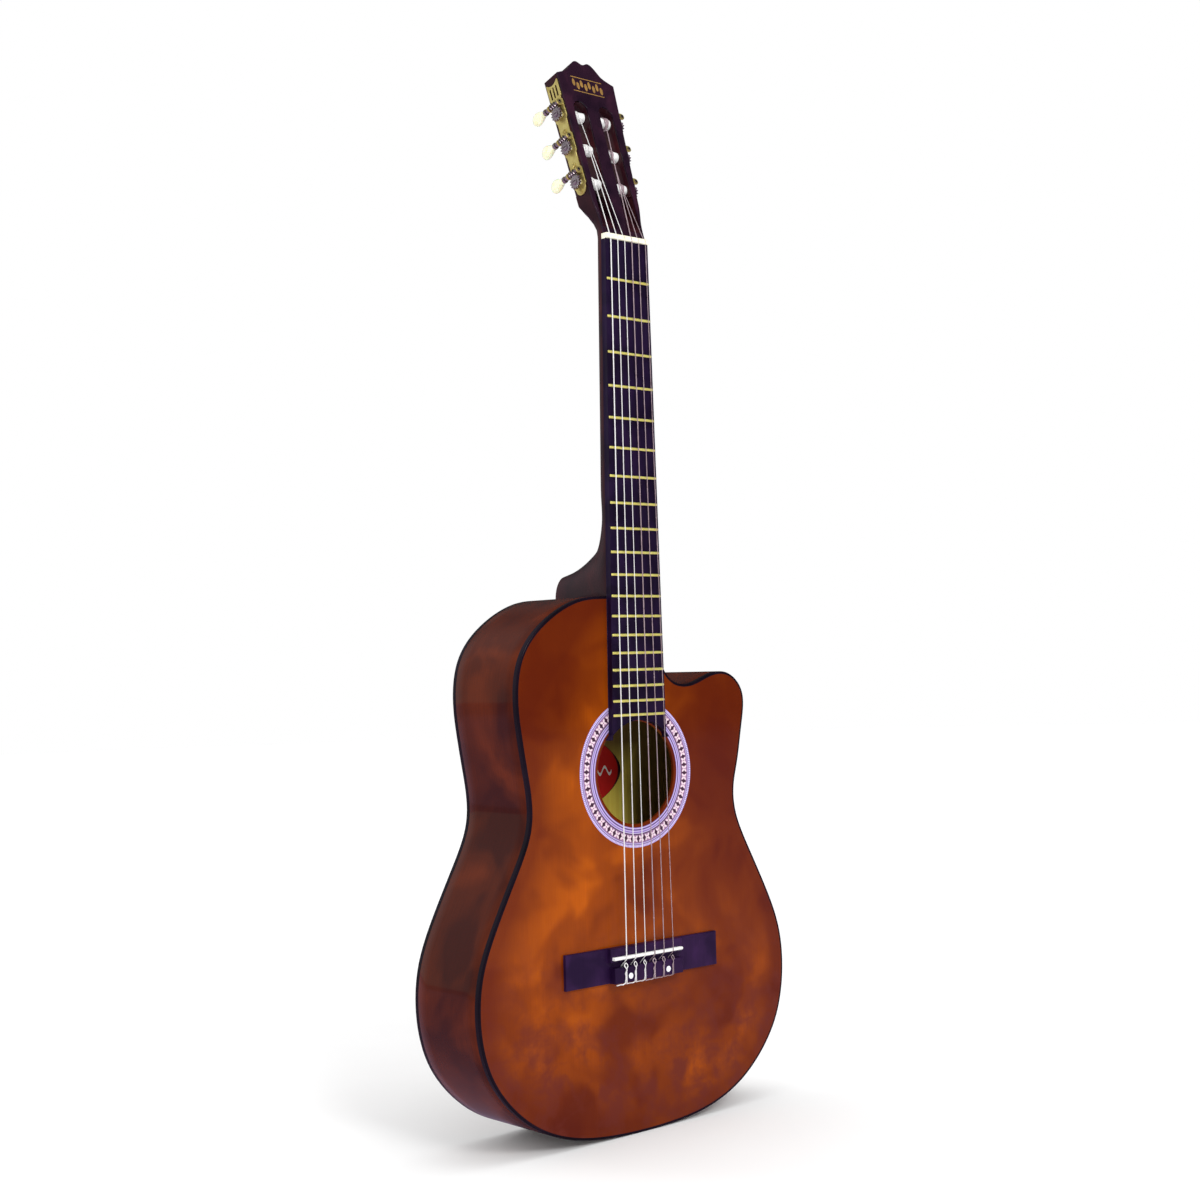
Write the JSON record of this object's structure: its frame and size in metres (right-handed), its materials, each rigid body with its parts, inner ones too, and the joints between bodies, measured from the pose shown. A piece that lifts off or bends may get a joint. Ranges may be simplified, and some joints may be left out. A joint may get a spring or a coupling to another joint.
{
  "type": "classical guitar",
  "caption": "Classical guitar with a cutaway body, slotted head, tied bridge, rosette and worm-geared tuning machines.",
  "frame": {"origin": "under the middle of the guitar in plan, level with the body's tail", "axes": "+Z from the tail to the head, +X to the treble side, +Y out of the back"},
  "size_m": [0.375, 0.1046, 0.9924],
  "materials": {
    "soundboard": "gloss lacquer over mottled orange-brown stain",
    "back": "gloss lacquer over mottled brown stain",
    "ribs": "gloss lacquer over mottled brown stain",
    "binding": "polished black-purple strip",
    "inner_wood": "bare pale softwood",
    "label": "red printed paper, no text",
    "rosette": "lavender and white inlay rings under lacquer",
    "bridge_wood": "dark purple-black satin wood",
    "bone": "polished cream bone",
    "pearl": "white pearl dots",
    "neck": "gloss dark reddish-brown lacquer",
    "veneer": "gloss near-black purple-brown veneer with a gold ornament",
    "fretboard": "dark purple-black satin wood",
    "fret_wire": "polished bright gold",
    "plate": "polished gold plate",
    "nickel": "nickel-plated steel",
    "button": "cream pearloid plastic",
    "roller": "white plastic",
    "bass_string": "silver-plated round wound string",
    "treble_string": "clear nylon"
  },
  "bodies": {
    "guitar": {"soundboard": "soundboard", "back": "back", "bass_rib": "ribs", "treble_rib": "ribs", "bindings": "binding", "linings": "inner_wood", "soundboard_braces": "inner_wood", "back_braces": "inner_wood", "neck_block": "inner_wood", "tail_block": "inner_wood", "label": "label", "rosette": "rosette", "bridge": "bridge_wood", "saddle": "bone", "bridge_dots": "pearl", "neck": "neck", "headstock": "neck", "head_veneer": "veneer", "fretboard": "fretboard", "frets": "fret_wire", "nut": "bone", "bass_plate": "plate", "treble_plate": "plate", "plate_screws": "plate", "string_1": "treble_string", "string_2": "treble_string", "string_3": "treble_string", "string_4": "bass_string", "string_5": "bass_string", "string_6": "bass_string"},
    "key_1": {"worm_1": "nickel", "button_1": "button"},
    "post_1": {"gear_1": "nickel", "roller_1": "roller", "wrap_1": "treble_string"},
    "key_2": {"worm_2": "nickel", "button_2": "button"},
    "post_2": {"gear_2": "nickel", "roller_2": "roller", "wrap_2": "treble_string"},
    "key_3": {"worm_3": "nickel", "button_3": "button"},
    "post_3": {"gear_3": "nickel", "roller_3": "roller", "wrap_3": "treble_string"},
    "key_4": {"worm_4": "nickel", "button_4": "button"},
    "post_4": {"gear_4": "nickel", "roller_4": "roller", "wrap_4": "bass_string"},
    "key_5": {"worm_5": "nickel", "button_5": "button"},
    "post_5": {"gear_5": "nickel", "roller_5": "roller", "wrap_5": "bass_string"},
    "key_6": {"worm_6": "nickel", "button_6": "button"},
    "post_6": {"gear_6": "nickel", "roller_6": "roller", "wrap_6": "bass_string"}
  },
  "joints": [
    {"name": "key_turn_1", "type": "hinge", "parent": "guitar", "child": "key_1", "pos_m": [0.03552, -0.01501, 0.87625], "axis": [0, 0.9563, -0.2924], "continuous": true},
    {"name": "post_turn_1", "type": "hinge", "parent": "guitar", "child": "post_1", "pos_m": [0.02991, -0.01754, 0.86798], "axis": [0.9989, -0.0136, -0.0446], "continuous": true},
    {"name": "key_turn_2", "type": "hinge", "parent": "guitar", "child": "key_2", "pos_m": [0.03715, -0.00478, 0.90972], "axis": [0, 0.9563, -0.2924], "continuous": true},
    {"name": "post_turn_2", "type": "hinge", "parent": "guitar", "child": "post_2", "pos_m": [0.03154, -0.00731, 0.90145], "axis": [0.9989, -0.0136, -0.0446], "continuous": true},
    {"name": "key_turn_3", "type": "hinge", "parent": "guitar", "child": "key_3", "pos_m": [0.03879, 0.00545, 0.94319], "axis": [0, 0.9563, -0.2924], "continuous": true},
    {"name": "post_turn_3", "type": "hinge", "parent": "guitar", "child": "post_3", "pos_m": [0.03318, 0.00293, 0.93492], "axis": [0.9989, -0.0136, -0.0446], "continuous": true},
    {"name": "key_turn_4", "type": "hinge", "parent": "guitar", "child": "key_4", "pos_m": [-0.03879, 0.00545, 0.94319], "axis": [0, 0.9563, -0.2924], "continuous": true},
    {"name": "post_turn_4", "type": "hinge", "parent": "guitar", "child": "post_4", "pos_m": [-0.03318, 0.00293, 0.93492], "axis": [-0.9989, -0.0136, -0.0446], "continuous": true},
    {"name": "key_turn_5", "type": "hinge", "parent": "guitar", "child": "key_5", "pos_m": [-0.03715, -0.00478, 0.90972], "axis": [0, 0.9563, -0.2924], "continuous": true},
    {"name": "post_turn_5", "type": "hinge", "parent": "guitar", "child": "post_5", "pos_m": [-0.03154, -0.00731, 0.90145], "axis": [-0.9989, -0.0136, -0.0446], "continuous": true},
    {"name": "key_turn_6", "type": "hinge", "parent": "guitar", "child": "key_6", "pos_m": [-0.03552, -0.01501, 0.87625], "axis": [0, 0.9563, -0.2924], "continuous": true},
    {"name": "post_turn_6", "type": "hinge", "parent": "guitar", "child": "post_6", "pos_m": [-0.02991, -0.01754, 0.86798], "axis": [-0.9989, -0.0136, -0.0446], "continuous": true}
  ],
  "couplings": [
    {"joint": "post_turn_1", "follows": "key_turn_1", "ratio": -0.071429},
    {"joint": "post_turn_2", "follows": "key_turn_2", "ratio": -0.071429},
    {"joint": "post_turn_3", "follows": "key_turn_3", "ratio": -0.071429},
    {"joint": "post_turn_4", "follows": "key_turn_4", "ratio": -0.071429},
    {"joint": "post_turn_5", "follows": "key_turn_5", "ratio": -0.071429},
    {"joint": "post_turn_6", "follows": "key_turn_6", "ratio": -0.071429}
  ]
}
